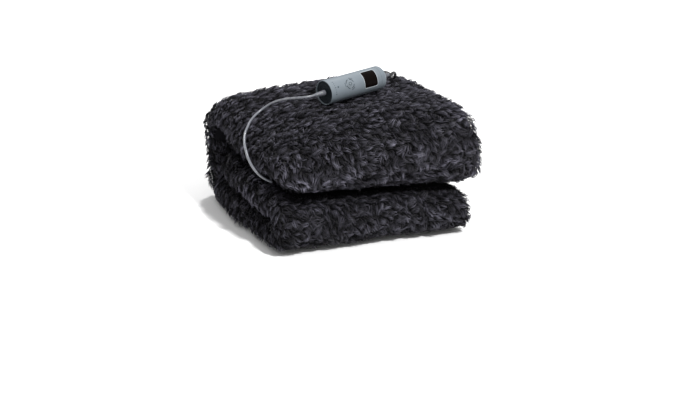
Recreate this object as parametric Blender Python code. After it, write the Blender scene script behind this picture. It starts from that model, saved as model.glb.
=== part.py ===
"""Electric heated throw, folded in four both ways, with its controller and leads on top.

Metres, +Z up, +X along the front, +Y towards the back. The origin is on the surface it rests on,
under the middle of the folded throw.
"""

import math

import bmesh
import bpy
import numpy as np
from mathutils import Matrix, Vector

# Folded throw.
WIDTH = 0.352  # along X, over the upper layers
DEPTH = 0.398  # along Y
PLY_TOP = 0.0158  # one ply of the upper half, pile and all
PLY_BOTTOM = 0.0092  # one ply of the lower half, pressed by what lies on it
PLY_FILL = 0.885  # share of a ply's pitch that is cloth: the rest is the gap to the next ply
LAYER_GAP = 0.0042  # between a run of the fold and the run turned back on it
HALF_GAP = 0.0040  # between the upper and the lower half
BACK_REACH = 0.058  # how far the big back fold bulges, from where its runs end
OVERHANG = 0.007  # of the upper front roll past the lower one
UPPER_FLAP_END = 0.116  # where the upper inner flap stops, along Y
LOWER_FLAP_END = 0.122
RUN_STEPS = 7  # along X, in each ply

# How the folded stack sags and bulges.
LEFT_DROP = 0.011
RIGHT_DROP = 0.008
BACK_DROP = 0.009
CROWN = 0.0025
LUMPS = 0.0018
CONTROLLER_DENT = 0.0030
LEFT_HANG = 0.035  # of the top layer over the shorter flap below it
GAP_RISE = 0.008
GAP_FALL = 0.004
FRONT_WAVE = 0.0035
FRONT_RIPPLE = 0.0020
BACK_WAVE = 0.0030
BACK_WAIST = 0.006
RIGHT_SWELL = 0.007
RIGHT_WAVE = 0.003
LEFT_WAVE = 0.004
LEFT_WAIST = 0.003

# Controller.
SHELL_RADIUS = 0.0200
SHELL_LENGTH = 0.121
SHELL_PLACE = (0.0136, -0.0370, 0.2272)  # middle of its axis
SHELL_YAW = math.radians(20.0)
SHELL_TILT = math.radians(3.5)
RIM_WALL = 0.0012
RIM_EDGE = 0.0004  # chamfer of the rim and of the end cap
RECESS_DEPTH = 0.0045
CAP_THICKNESS = 0.0025
END_ROUNDING = 0.0060
FACING = math.radians(62.0)  # round the shell, from straight up towards the front
WINDOW_MIDDLE = 0.0245  # along the shell's axis, from its middle
WINDOW_LENGTH = 0.0272
WINDOW_SPAN = math.radians(84.0)
WINDOW_CORNER = 0.0030
WINDOW_DEPTH = 0.0014
KEY_MIDDLE = -0.0195
KEY_RADIUS = 0.0048
KEY_DEPTH = 0.0010
KEY_PROUD = 0.0003
LAMP_MIDDLE = -0.0450
LAMP_RADIUS = 0.0012
FIT_GAP = 0.0003  # between pieces that touch
CUT_CLEAR = 0.0030  # how far a cutter stands out of what it cuts

# Strain reliefs: length, and radius at the housing and at the tip.
CONTROL_RELIEF = (0.0210, 0.0046, 0.0029)
MAINS_RELIEF = (0.0200, 0.0048, 0.0034)
PLUG_RELIEF = (0.0260, 0.0050, 0.0034)
COLLAR_HEIGHT = 0.0006

# Leads.
CONTROL_LEAD = 0.0040  # diameter
MAINS_LEAD = 0.0050
LEAD_OUT = (0.008, 0.006)  # straight out of the control relief and of the mains relief
COIL_RING = 0.0560  # diameter at the middle of the coil's turns
COIL_BUNDLE = 0.0166  # thickness of the bundle of turns
COIL_PLACE = (0.092, 0.256)
COIL_SIDES = 12
COIL_STEPS = 40

# Plug: a flat two-blade one.
PLUG_SIZE = (0.0300, 0.0240, 0.0145)
PLUG_PLACE = (-0.0116, 0.2170, 0.00725)  # middle of the body
BLADE_SIZE = (0.0180, 0.0064, 0.0015)
BLADE_SPACING = 0.0127


def new_material(name, colour, roughness, metallic=0.0):
    material = bpy.data.materials.new(name)
    material.use_nodes = True
    shader = material.node_tree.nodes["Principled BSDF"]
    shader.inputs["Base Color"].default_value = (*colour, 1.0)
    shader.inputs["Roughness"].default_value = roughness
    shader.inputs["Metallic"].default_value = metallic
    return material


def new_object(name, points, faces, material):
    mesh = bpy.data.meshes.new(name)
    mesh.from_pydata([tuple(p) for p in points], [], faces)
    shape = bmesh.new()
    shape.from_mesh(mesh)
    bmesh.ops.recalc_face_normals(shape, faces=shape.faces)
    shape.to_mesh(mesh)
    shape.free()
    mesh.shade_smooth()
    mesh.set_sharp_from_angle(angle=math.radians(40.0))
    item = bpy.data.objects.new(name, mesh)
    item.data.materials.append(material)
    bpy.context.collection.objects.link(item)
    return item


# ---------------------------------------------------------------- folded throw


def half_thickness(ply):
    """From the middle of a run of four plies to its outer face."""
    return (1.5 + PLY_FILL / 2) * ply


def level_heights():
    """Heights of the middles of the four runs, from the bottom one up."""
    bottom = half_thickness(PLY_BOTTOM)
    lower_flap = bottom + 2 * half_thickness(PLY_BOTTOM) + LAYER_GAP
    upper_flap = lower_flap + half_thickness(PLY_BOTTOM) + HALF_GAP + half_thickness(PLY_TOP)
    top = upper_flap + 2 * half_thickness(PLY_TOP) + LAYER_GAP
    return bottom, lower_flap, upper_flap, top


def straight(y_from, y_to, z, steps):
    return [(y_from + (y_to - y_from) * k / steps, z) for k in range(steps)]


def half_turn(y, z_from, z_to, reach, steps):
    """Half an ellipse from (y, z_from) to (y, z_to) that bulges by reach, which is negative to the front."""
    middle = (z_from + z_to) / 2
    rise = (z_to - z_from) / 2
    angles = [math.pi * k / steps for k in range(steps)]
    return [(y + reach * math.sin(a), middle - rise * math.cos(a)) for a in angles]


def fold_sections():
    """The throw's length, from the upper inner flap's free end to the lower one's.

    Each row is a stretch of it: its points in Y and Z, then the ply pitch, the width and the shift
    along X at its start. The last row is the lower flap's free end.
    """
    bottom, lower_flap, upper_flap, top = level_heights()
    upper_roll = (top - upper_flap) / 2
    lower_roll = (lower_flap - bottom) / 2
    upper_front = -DEPTH / 2 + upper_roll + half_thickness(PLY_TOP)
    lower_front = -DEPTH / 2 + OVERHANG + lower_roll + half_thickness(PLY_BOTTOM)
    back = DEPTH / 2 - BACK_REACH - half_thickness((PLY_TOP + PLY_BOTTOM) / 2)
    return [
        # points, pitch, width, shift
        (straight(UPPER_FLAP_END, upper_front, upper_flap, 6), PLY_TOP, WIDTH - 0.066, 0.028),
        (half_turn(upper_front, upper_flap, top, -upper_roll, 8), PLY_TOP, WIDTH - 0.024, 0.010),
        (straight(upper_front, back, top, 7), PLY_TOP, WIDTH - 0.008, 0.003),
        (half_turn(back, top, bottom, BACK_REACH, 10), PLY_TOP, WIDTH + 0.002, -0.001),
        (straight(back, lower_front, bottom, 6), PLY_BOTTOM, WIDTH - 0.018, -0.008),
        (half_turn(lower_front, bottom, lower_flap, -lower_roll, 6), PLY_BOTTOM, WIDTH - 0.022, -0.010),
        (straight(lower_front, LOWER_FLAP_END, lower_flap, 5), PLY_BOTTOM, WIDTH - 0.026, -0.008),
        ([(LOWER_FLAP_END, lower_flap)], PLY_BOTTOM, WIDTH - 0.030, -0.006),
    ]


def fold_stations():
    """Rows of y, z, normal y, normal z, pitch, width and shift, one for each ring of the sweep."""
    sections = fold_sections()
    line = []
    sizes = []
    for section, following in zip(sections, [*sections[1:], sections[-1]]):
        start = np.array(section[1:])
        end = np.array(following[1:])
        for k, point in enumerate(section[0]):
            line.append(point)
            sizes.append(start + (end - start) * smooth_step(k / len(section[0]), 0.0, 1.0))
    line = np.array(line)
    direction = np.gradient(line, axis=0)
    direction /= np.linalg.norm(direction, axis=1)[:, None]
    normal = np.stack([-direction[:, 1], direction[:, 0]], axis=1)
    # The bottom run lies flat right up to its folds.
    normal[line[:, 1] < level_heights()[0] + 1e-6] = (0.0, -1.0)
    return np.column_stack([line, normal, sizes])


def ply_line():
    """The cut's width, folded in half and in half again: rows of side, reach, n.

    side is 0 at the big fold and 1 at the small one, reach is how far the point stands past it, in
    plies, and n is how far it is from the middle of the four plies, in plies.
    """
    rows = []

    def run(side_from, side_to, n, reach_from=0.0, reach_to=0.0):
        # The runs share their steps, so that the plies stay apart where they bend together. The steps
        # are finer towards the folds.
        for k in range(RUN_STEPS + 1):
            share = k / RUN_STEPS
            share = 0.5 * share + 0.25 * (1.0 - math.cos(math.pi * share))
            side = side_from + (side_to - side_from) * share
            rows.append((side, reach_from + (reach_to - reach_from) * share, n))

    def fold(side, n_from, n_to, outwards, steps):
        middle = (n_from + n_to) / 2
        radius = (n_to - n_from) / 2
        for k in range(1, steps):
            angle = math.pi * k / steps
            rows.append((side, outwards * abs(radius) * math.sin(angle), middle - radius * math.cos(angle)))

    run(1.0, 0.0, -1.5, reach_from=0.30)
    fold(0.0, -1.5, 1.5, -1.0, 8)
    run(0.0, 1.0, 1.5)
    fold(1.0, 1.5, 0.5, 1.0, 4)
    run(1.0, 0.0, 0.5)
    fold(0.0, 0.5, -0.5, -1.0, 4)
    run(0.0, 1.0, -0.5, reach_to=-0.10)
    return rows


def ply_outline(pitch, width, shift):
    """The closed outline of the four plies across one station, as points in X and n, in metres."""
    big = -width / 2 + (1.5 + PLY_FILL / 2) * pitch
    small = width / 2 - (0.5 + PLY_FILL / 2) * pitch
    rows = ply_line()
    line = np.array([(big + (small - big) * side + reach * pitch, n * pitch) for side, reach, n in rows])
    step = np.diff(line, axis=0)
    step /= np.linalg.norm(step, axis=1)[:, None]
    before = np.vstack([step[:1], step])
    after = np.vstack([step, step[-1:]])
    mitre = before + after
    mitre /= np.linalg.norm(mitre, axis=1)[:, None]
    stretch = 1.0 / np.maximum((mitre * before).sum(axis=1), 0.5)
    across = np.stack([-mitre[:, 1], mitre[:, 0]], axis=1) * stretch[:, None]
    half = PLY_FILL * pitch / 2
    tip = 0.7 * half
    left = line + across * half
    right = line - across * half
    first = line[0] - step[0] * tip
    last = line[-1] + step[-1] * tip
    outline = np.vstack([first, left, last, right[::-1]])
    outline[:, 0] += shift
    return outline


def smooth_step(value, low, high):
    share = np.clip((value - low) / (high - low), 0.0, 1.0)
    return share * share * (3 - 2 * share)


def waves(phase_x, phase_y):
    """Two crossed waves."""
    return np.sin(phase_x) * np.sin(phase_y)


def bump(value, middle, spread):
    """A bell shape about middle."""
    return np.exp(-(((value - middle) / spread) ** 2))


def droop(x, y, z):
    """How far the upper layers sink at their left, right and back edges, and under the controller."""
    height = level_heights()[3] + half_thickness(PLY_TOP)
    left = LEFT_DROP * smooth_step(-x, -0.060, 0.170)
    right = RIGHT_DROP * smooth_step(x, 0.115, 0.185)
    back = BACK_DROP * smooth_step(y, 0.040, 0.190)
    crown = CROWN * np.cos((x - 0.04) * 9.0) * np.cos((y + 0.03) * 8.0)
    lumps = LUMPS * waves(x * 41.0 + 1.1 + y * 13.0, y * 33.0 + 0.4)
    along = (x - SHELL_PLACE[0]) * math.cos(SHELL_YAW) + (y - SHELL_PLACE[1]) * math.sin(SHELL_YAW)
    across = (y - SHELL_PLACE[1]) * math.cos(SHELL_YAW) - (x - SHELL_PLACE[0]) * math.sin(SHELL_YAW)
    dent = CONTROLLER_DENT * bump(across, 0.0, 0.045) * (1 - smooth_step(abs(along), 0.020, 0.130))
    return smooth_step(z, 0.070, height) * (left + right + back - crown - lumps + dent)


def overhang(x, y, z):
    """How far the top layer hangs down over the left end of the shorter flap below it."""
    share = smooth_step(-x, 0.068, 0.184) * smooth_step(z, 0.088, 0.160)
    return LEFT_HANG * share * (1.0 - 0.75 * smooth_step(y, -0.06, 0.12))


def gap_rise(x, y, z):
    """How far the gap between the halves is raised: most at the left and the back, and it wanders."""
    share = smooth_step(z, 0.0, 0.075) * (1 - smooth_step(z, 0.085, 0.170))
    left = GAP_RISE * smooth_step(-x, -0.020, 0.170) * (1.0 + smooth_step(y, -0.12, 0.08))
    right = GAP_FALL * smooth_step(x, 0.040, 0.170)
    return share * (left - right + 0.0012 * np.sin(x * 26.0 + 0.5) - 0.0015 * np.cos(y * 15.0))


def settle(points):
    """Lets the folded stack sag, lean and bulge as soft cloth does. It keeps the underside flat."""
    x, y, z = points.T
    z_new = z - droop(x, y, z)
    z_new = z_new - overhang(x, y, z_new)
    z_new = z_new + gap_rise(x, y, z)
    # The front and the back bulge and dent along their width.
    front = smooth_step(-y, 0.06, 0.19)
    back = smooth_step(y, 0.06, 0.19)
    front_wave = FRONT_WAVE * np.sin(x * 23.0 + 0.6 + z * 14.0)
    front_ripple = FRONT_RIPPLE * np.sin(x * 47.0 - z * 22.0)
    back_wave = BACK_WAVE * np.sin(x * 19.0 + z * 20.0)
    y_new = y + front * (front_wave + front_ripple) + back * (back_wave - BACK_WAIST * bump(z, 0.105, 0.030))
    # The right end swells at mid height of the upper layers, the left end pulls in below them.
    right = smooth_step(x, 0.06, 0.17)
    left = smooth_step(-x, 0.06, 0.17)
    right_wave = RIGHT_WAVE * np.sin(y * 26.0 + z * 17.0)
    left_wave = LEFT_WAVE * np.sin(y * 21.0 + z * 13.0 + 0.8)
    x_new = x + right * (RIGHT_SWELL * bump(z, 0.130, 0.040) + right_wave)
    x_new = x_new - left * (left_wave - LEFT_WAIST * bump(z, 0.085, 0.030))
    return np.column_stack([x_new, y_new, z_new])


def centred(points):
    """Puts the middle of the box over the origin."""
    low, high = points.min(axis=0), points.max(axis=0)
    return points - np.array([(low[0] + high[0]) / 2, (low[1] + high[1]) / 2, low[2]])


def make_throw(material):
    stations = fold_stations()
    rings = []
    for y, z, normal_y, normal_z, pitch, width, shift in stations:
        outline = ply_outline(pitch, width, shift)
        ring = np.column_stack([outline[:, 0], y + outline[:, 1] * normal_y, z + outline[:, 1] * normal_z])
        rings.append(ring)
    count = len(rings[0])
    plies = (count - 2) // 2
    points = centred(settle(np.vstack(rings)))
    faces = []
    for ring in range(len(rings) - 1):
        for k in range(count):
            a = ring * count + k
            b = ring * count + (k + 1) % count
            faces.append((a, b, b + count, a + count))
    for base in (0, (len(rings) - 1) * count):
        left = [base + 1 + k for k in range(plies)]
        right = [base + count - 1 - k for k in range(plies)]
        faces.append((base, left[0], right[0]))
        faces.append((base + 1 + plies, right[-1], left[-1]))
        faces += [(left[k], left[k + 1], right[k + 1], right[k]) for k in range(plies - 1)]
    new_object("throw", points, faces, material)


# ---------------------------------------------------------------- controller


def turned(name, profile, material, steps=40):
    """A solid turned round local X from points of x and radius, the first and last on the axis."""
    rims = profile[1:-1]
    points = [(profile[0][0], 0.0, 0.0), (profile[-1][0], 0.0, 0.0)]
    for x, radius in rims:
        for k in range(steps):
            angle = 2 * math.pi * k / steps
            points.append((x, radius * math.cos(angle), radius * math.sin(angle)))
    faces = []
    last = 2 + (len(rims) - 1) * steps
    for k in range(steps):
        after = (k + 1) % steps
        faces.append((0, 2 + after, 2 + k))
        faces.append((1, last + k, last + after))
        for rim in range(len(rims) - 1):
            base = 2 + rim * steps
            faces.append((base + k, base + after, base + steps + after, base + steps + k))
    return new_object(name, points, faces, material)


def arc(x, radius, size, angle_from, angle_to, steps):
    """Points of a quarter or so of a circle about (x, radius), for a turned profile."""
    angles = [math.radians(angle_from + (angle_to - angle_from) * k / steps) for k in range(steps + 1)]
    return [(x + size * math.cos(a), radius + size * math.sin(a)) for a in angles]


def wrapped_plate(name, middle, length, span, corner, inner, outer, material, rows=14):
    """A plate with rounded corners, wrapped on the shell about the side that faces out."""
    half_arc = span / 2
    flat_half = half_arc * SHELL_RADIUS
    points = []
    for k in range(rows + 1):
        # Rows crowd towards the ends, where the corners are.
        along = -math.cos(math.pi * (k + 0.35) / (rows + 0.7))
        into = max(0.0, abs(along) * flat_half - (flat_half - corner))
        rounded_off = corner - math.sqrt(max(0.0, corner * corner - into * into))
        half = length / 2 - rounded_off
        angle = FACING - along * half_arc
        for x, radius in ((-half, outer), (half, outer), (half, inner), (-half, inner)):
            points.append((middle + x, -radius * math.sin(angle), radius * math.cos(angle)))
    faces = [(0, 1, 2, 3)]
    faces.append(tuple(4 * rows + k for k in range(4)))
    for row in range(rows):
        base = 4 * row
        for k in range(4):
            after = (k + 1) % 4
            faces.append((base + k, base + after, base + 4 + after, base + 4 + k))
    return new_object(name, points, faces, material)


def cut(item, cutter):
    cutter.hide_render = True
    cutter.display_type = "WIRE"
    modifier = item.modifiers.new(cutter.name, "BOOLEAN")
    modifier.operation = "DIFFERENCE"
    modifier.object = cutter


def shell_profile():
    half = SHELL_LENGTH / 2
    bore = SHELL_RADIUS - RIM_WALL
    profile = [(-half + RECESS_DEPTH, 0.0), (-half + RECESS_DEPTH, bore)]
    profile += [(-half + RIM_EDGE, bore), (-half, bore + RIM_EDGE), (-half, SHELL_RADIUS - RIM_EDGE)]
    profile += [(-half + RIM_EDGE, SHELL_RADIUS), (-half / 3, SHELL_RADIUS), (half / 3, SHELL_RADIUS)]
    profile += arc(half - END_ROUNDING, SHELL_RADIUS - END_ROUNDING, END_ROUNDING, 90.0, 0.0, 5)
    profile += [(half, 0.0)]
    return profile


def fitted_plate(shell, name, middle, length, span, corner, depth, material, proud=0.0):
    """A wrapped plate in a pocket of the shell, with a fine gap all round it."""
    gap_angle = 2 * FIT_GAP / SHELL_RADIUS
    floor = SHELL_RADIUS - depth
    cutter = wrapped_plate(
        name + "_cutter", middle, length + 2 * FIT_GAP, span + gap_angle, corner + FIT_GAP,
        floor, SHELL_RADIUS + CUT_CLEAR, material,
    )
    cut(shell, cutter)
    plate = wrapped_plate(
        name, middle, length, span, corner, floor + FIT_GAP, SHELL_RADIUS + proud, material,
    )
    return [cutter, plate]


def relief(name, size, material):
    """A tapered strain relief along local X, with three collars, from its housing end at x = 0."""
    length, wide, narrow = size
    profile = [(0.0, 0.0), (0.0, wide), (length * 0.16, wide)]
    for k in range(3):
        start = length * (0.22 + 0.24 * k)
        radius = wide + (narrow - wide) * (0.25 + 0.25 * k)
        groove = radius - COLLAR_HEIGHT
        profile += [(start, groove), (start + length * 0.06, groove)]
        profile += [(start + length * 0.08, radius), (start + length * 0.20, radius)]
    profile += [(length * 0.97, narrow - COLLAR_HEIGHT / 2), (length, narrow - COLLAR_HEIGHT), (length, 0.0)]
    return turned(name, profile, material, 20)


def make_controller(materials):
    frame = bpy.data.objects.new("controller_frame", None)
    bpy.context.collection.objects.link(frame)
    half = SHELL_LENGTH / 2
    shell = turned("controller_shell", shell_profile(), materials["shell"], 48)
    bore = SHELL_RADIUS - RIM_WALL - FIT_GAP
    cap_back = -half + RECESS_DEPTH - FIT_GAP
    cap_face = cap_back - CAP_THICKNESS
    cap = [(cap_back, 0.0), (cap_back, bore), (cap_face + RIM_EDGE, bore), (cap_face, bore - RIM_EDGE)]
    cap += [(cap_face, 0.0)]
    end_cap = turned("end_cap", cap, materials["dark"], 40)
    pieces = [shell, end_cap]
    pieces += fitted_plate(
        shell, "display", WINDOW_MIDDLE, WINDOW_LENGTH, WINDOW_SPAN, WINDOW_CORNER, WINDOW_DEPTH,
        materials["display"],
    )
    pieces += fitted_plate(
        shell, "power_key", KEY_MIDDLE, 2 * KEY_RADIUS, 2 * KEY_RADIUS / SHELL_RADIUS, KEY_RADIUS,
        KEY_DEPTH, materials["key"], KEY_PROUD,
    )
    pieces += fitted_plate(
        shell, "lamp", LAMP_MIDDLE, 2 * LAMP_RADIUS, 2 * LAMP_RADIUS / SHELL_RADIUS, LAMP_RADIUS,
        KEY_DEPTH, materials["lamp"],
    )
    control_relief = relief("control_relief", CONTROL_RELIEF, materials["grey"])
    control_relief.rotation_euler = (0.0, 0.0, math.pi)
    control_relief.location = (cap_face - FIT_GAP, 0.0, 0.0)
    mains_relief = relief("mains_relief", MAINS_RELIEF, materials["grey"])
    mains_relief.location = (half + FIT_GAP, 0.0, 0.0)
    for item in [*pieces, control_relief, mains_relief]:
        item.parent = frame
    frame.location = SHELL_PLACE
    frame.rotation_euler = (0.0, -SHELL_TILT, SHELL_YAW)
    turn = Matrix.Rotation(SHELL_YAW, 4, "Z") @ Matrix.Rotation(-SHELL_TILT, 4, "Y")
    place = Matrix.Translation(SHELL_PLACE) @ turn
    control_tip = place @ Vector((cap_face - 2 * FIT_GAP - CONTROL_RELIEF[0], 0.0, 0.0))
    mains_tip = place @ Vector((half + 2 * FIT_GAP + MAINS_RELIEF[0], 0.0, 0.0))
    axis = (turn @ Vector((1.0, 0.0, 0.0))).normalized()
    return control_tip, mains_tip, axis


# ---------------------------------------------------------------- leads, coil and plug


def smooth_line(route, spacing):
    """Points about spacing apart on a smooth curve through the route's points."""
    route = [Vector(p) for p in route]
    ends = [2 * route[0] - route[1], *route, 2 * route[-1] - route[-2]]
    fine = []
    for before, start, end, after in zip(ends, ends[1:], ends[2:], ends[3:]):
        for k in range(24):
            t = k / 24
            fine.append(
                0.5 * (
                    2 * start + (end - before) * t
                    + (2 * before - 5 * start + 4 * end - after) * t ** 2
                    + (3 * start - before - 3 * end + after) * t ** 3
                )
            )
    fine = np.array([*fine, route[-1]])
    steps = np.linalg.norm(np.diff(fine, axis=0), axis=1)
    along = np.concatenate([[0.0], np.cumsum(steps)])
    at = np.linspace(0.0, along[-1], round(along[-1] / spacing) + 1)
    return np.stack([np.interp(at, along, fine[:, k]) for k in range(3)], axis=1)


def lead(name, route, diameter, material, spacing=2.4):
    """A round lead through the route's points. spacing is in diameters."""
    line = smooth_line(route, spacing * diameter)
    curve = bpy.data.curves.new(name, "CURVE")
    curve.dimensions = "3D"
    curve.bevel_depth = diameter / 2
    curve.bevel_resolution = 2
    curve.use_fill_caps = True
    spline = curve.splines.new("POLY")
    spline.points.add(len(line) - 1)
    for point, place in zip(spline.points, line):
        point.co = (*place, 1.0)
    item = bpy.data.objects.new(name, curve)
    item.data.materials.append(material)
    bpy.context.collection.objects.link(item)


# Each route's points follow on from a strain relief's tip. The control lead ends in the hollow below
# the upper layers' left end.
CONTROL_ROUTE = [
    (-0.0790, -0.0655, 0.2212),
    (-0.0875, -0.0570, 0.2190),
    (-0.0935, -0.0440, 0.2158),
    (-0.0990, -0.0290, 0.2115),
    (-0.1060, -0.0130, 0.2055),
    (-0.1140, -0.0015, 0.1990),
    (-0.1225, 0.0035, 0.1925),
    (-0.1310, 0.0035, 0.1872),
    (-0.1420, -0.0015, 0.1812),
    (-0.1515, -0.0080, 0.1752),
    (-0.1590, -0.0170, 0.1692),
    (-0.1660, -0.0255, 0.1628),
    (-0.1720, -0.0380, 0.1568),
    (-0.1770, -0.0535, 0.1505),
    (-0.1805, -0.0715, 0.1445),
    (-0.1822, -0.0850, 0.1380),
    (-0.1812, -0.0965, 0.1300),
    (-0.1768, -0.1055, 0.1210),
    (-0.1690, -0.1100, 0.1125),
    (-0.1590, -0.1110, 0.1055),
    (-0.1520, -0.1100, 0.1020),
]

# Over the back of the throw, down to the floor and up to the coil's side.
MAINS_ROUTE = [
    (0.1015, -0.0035, 0.2322),
    (0.1070, 0.0025, 0.2298),
    (0.1112, 0.0095, 0.2258),
    (0.1140, 0.0170, 0.2210),
    (0.1165, 0.0250, 0.2168),
    (0.1190, 0.0350, 0.2135),
    (0.1225, 0.0480, 0.2120),
    (0.1280, 0.0680, 0.2110),
    (0.1325, 0.0900, 0.2092),
    (0.1335, 0.1150, 0.2055),
    (0.1315, 0.1400, 0.1990),
    (0.1300, 0.1605, 0.1880),
    (0.1290, 0.1785, 0.1720),
    (0.1285, 0.1905, 0.1535),
    (0.1285, 0.1972, 0.1300),
    (0.1285, 0.1990, 0.1050),
    (0.1285, 0.1985, 0.0750),
    (0.1285, 0.1965, 0.0480),
    (0.1285, 0.1990, 0.0260),
    (0.1283, 0.2075, 0.0105),
    (0.1275, 0.2190, 0.0046),
    (0.1262, 0.2290, 0.0032),
    (0.1258, 0.2368, 0.0031),
]

# From the coil's other side to the plug's strain relief.
TAIL_ROUTE = [
    (0.0582, 0.2370, 0.0080),
    (0.0567, 0.2295, 0.0060),
    (0.0523, 0.2231, 0.0050),
    (0.0459, 0.2187, 0.0052),
    (0.0382, 0.2172, 0.0064),
]


def make_coil(material):
    """The closed outer shape of the wound lead: a ring with a rounded section, lying flat."""
    half = COIL_BUNDLE / 2
    section = []
    for k in range(COIL_SIDES):
        angle = 2 * math.pi * (k + 0.5) / COIL_SIDES
        # A circle squared off by the root of its sine and cosine, and a little smaller than the bundle.
        across, up = (math.copysign(abs(v) ** 0.5, v) for v in (math.cos(angle), math.sin(angle)))
        section.append((COIL_RING / 2 + across * half * 0.985, half + up * half * 0.985))
    points = []
    for k in range(COIL_STEPS):
        turn = 2 * math.pi * k / COIL_STEPS
        points += [(radius * math.cos(turn), radius * math.sin(turn), height) for radius, height in section]
    faces = []
    for k in range(COIL_STEPS):
        a = k * COIL_SIDES
        b = (k + 1) % COIL_STEPS * COIL_SIDES
        for j in range(COIL_SIDES):
            after = (j + 1) % COIL_SIDES
            faces.append((a + j, a + after, b + after, b + j))
    coil = new_object("mains_coil", points, faces, material)
    coil.location = (*COIL_PLACE, 0.0)


def make_box(name, size, place, material, rounding=0.0):
    bpy.ops.mesh.primitive_cube_add(size=1.0, location=place)
    item = bpy.context.object
    item.name = name
    item.data.name = name
    item.data.transform(Matrix.Diagonal((*size, 1.0)))
    item.data.materials.append(material)
    if rounding:
        bevel = item.modifiers.new("rounding", "BEVEL")
        bevel.width = rounding
        bevel.segments = 3


def make_plug(materials):
    make_box("plug_body", PLUG_SIZE, PLUG_PLACE, materials["black"], 0.0040)
    front = PLUG_PLACE[0] - PLUG_SIZE[0] / 2
    for side, name in ((-1, "blade_a"), (1, "blade_b")):
        place = (
            front - FIT_GAP - BLADE_SIZE[0] / 2,
            PLUG_PLACE[1] + side * BLADE_SPACING / 2,
            PLUG_PLACE[2],
        )
        size = (BLADE_SIZE[0], BLADE_SIZE[2], BLADE_SIZE[1])
        make_box(name, size, place, materials["metal"])
    boot = relief("plug_relief", PLUG_RELIEF, materials["black"])
    boot.location = (PLUG_PLACE[0] + PLUG_SIZE[0] / 2 + FIT_GAP, PLUG_PLACE[1], PLUG_PLACE[2])
    tip = boot.location.x + PLUG_RELIEF[0] + FIT_GAP
    return (tip, PLUG_PLACE[1], PLUG_PLACE[2])


def make_materials():
    return {
        "plush": new_material("plush", (0.026, 0.026, 0.031), 0.95),
        "shell": new_material("controller_plastic", (0.200, 0.235, 0.250), 0.50),
        "dark": new_material("dark_plastic", (0.030, 0.040, 0.045), 0.45),
        "display": new_material("display_lens", (0.006, 0.005, 0.005), 0.15),
        "key": new_material("key_membrane", (0.230, 0.265, 0.280), 0.55),
        "lamp": new_material("lamp_lens", (0.020, 0.050, 0.060), 0.30),
        "grey": new_material("lead_grey", (0.420, 0.430, 0.450), 0.40),
        "black": new_material("lead_black", (0.012, 0.012, 0.013), 0.50),
        "metal": new_material("blade_metal", (0.560, 0.540, 0.500), 0.30, 1.0),
    }


def clear_scene():
    for item in list(bpy.data.objects):
        bpy.data.objects.remove(item)


def main():
    clear_scene()
    materials = make_materials()
    make_throw(materials["plush"])
    control_tip, mains_tip, axis = make_controller(materials)
    start = [control_tip, control_tip - LEAD_OUT[0] * axis]
    lead("control_lead", [*start, *CONTROL_ROUTE], CONTROL_LEAD, materials["grey"])
    start = [mains_tip, mains_tip + LEAD_OUT[1] * axis]
    lead("mains_lead", [*start, *MAINS_ROUTE], MAINS_LEAD, materials["black"])
    make_coil(materials["black"])
    plug_tip = make_plug(materials)
    lead("plug_tail", [*TAIL_ROUTE, plug_tip], MAINS_LEAD, materials["black"], 1.0)


main()
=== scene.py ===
"""Looks of the folded heated throw, its hand controller and its leads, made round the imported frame."""

import math

import bmesh
import bpy
import numpy as np
from mathutils import Matrix, Vector
from mathutils.bvhtree import BVHTree
from mathutils.kdtree import KDTree


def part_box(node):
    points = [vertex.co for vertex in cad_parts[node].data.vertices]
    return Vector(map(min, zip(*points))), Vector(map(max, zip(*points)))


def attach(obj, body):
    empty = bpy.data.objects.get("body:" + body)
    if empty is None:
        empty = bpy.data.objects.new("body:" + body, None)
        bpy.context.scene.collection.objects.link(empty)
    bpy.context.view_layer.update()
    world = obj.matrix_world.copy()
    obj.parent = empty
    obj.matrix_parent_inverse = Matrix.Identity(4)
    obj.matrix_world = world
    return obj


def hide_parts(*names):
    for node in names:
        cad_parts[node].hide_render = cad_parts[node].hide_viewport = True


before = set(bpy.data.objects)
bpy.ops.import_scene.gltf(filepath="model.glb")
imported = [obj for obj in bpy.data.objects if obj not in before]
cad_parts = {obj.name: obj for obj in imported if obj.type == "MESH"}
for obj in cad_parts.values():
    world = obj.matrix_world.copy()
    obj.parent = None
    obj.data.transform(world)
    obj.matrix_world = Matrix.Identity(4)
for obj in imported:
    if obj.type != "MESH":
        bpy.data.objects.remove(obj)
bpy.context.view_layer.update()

# Camera, in the frame's metres and degrees.
VIEW_AZIMUTH = -22.0
VIEW_ELEVATION = 18.0
VIEW_DISTANCE = 2.6
VIEW_TARGET = (0.012, 0.0, 0.009)
VIEW_LENS = 80.93
WORLD_STRENGTH = 0.74
LIGHT_SPREAD = math.radians(5.0)
# Two soft high lights from the right, one in front and one behind. Only the floor at the left is out of
# reach of both. Name, direction towards the light, strength.
LIGHTS = (("key", (0.23, -0.78, 1.0), 3.4), ("back", (0.23, 0.42, 1.0), 1.6))

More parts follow.
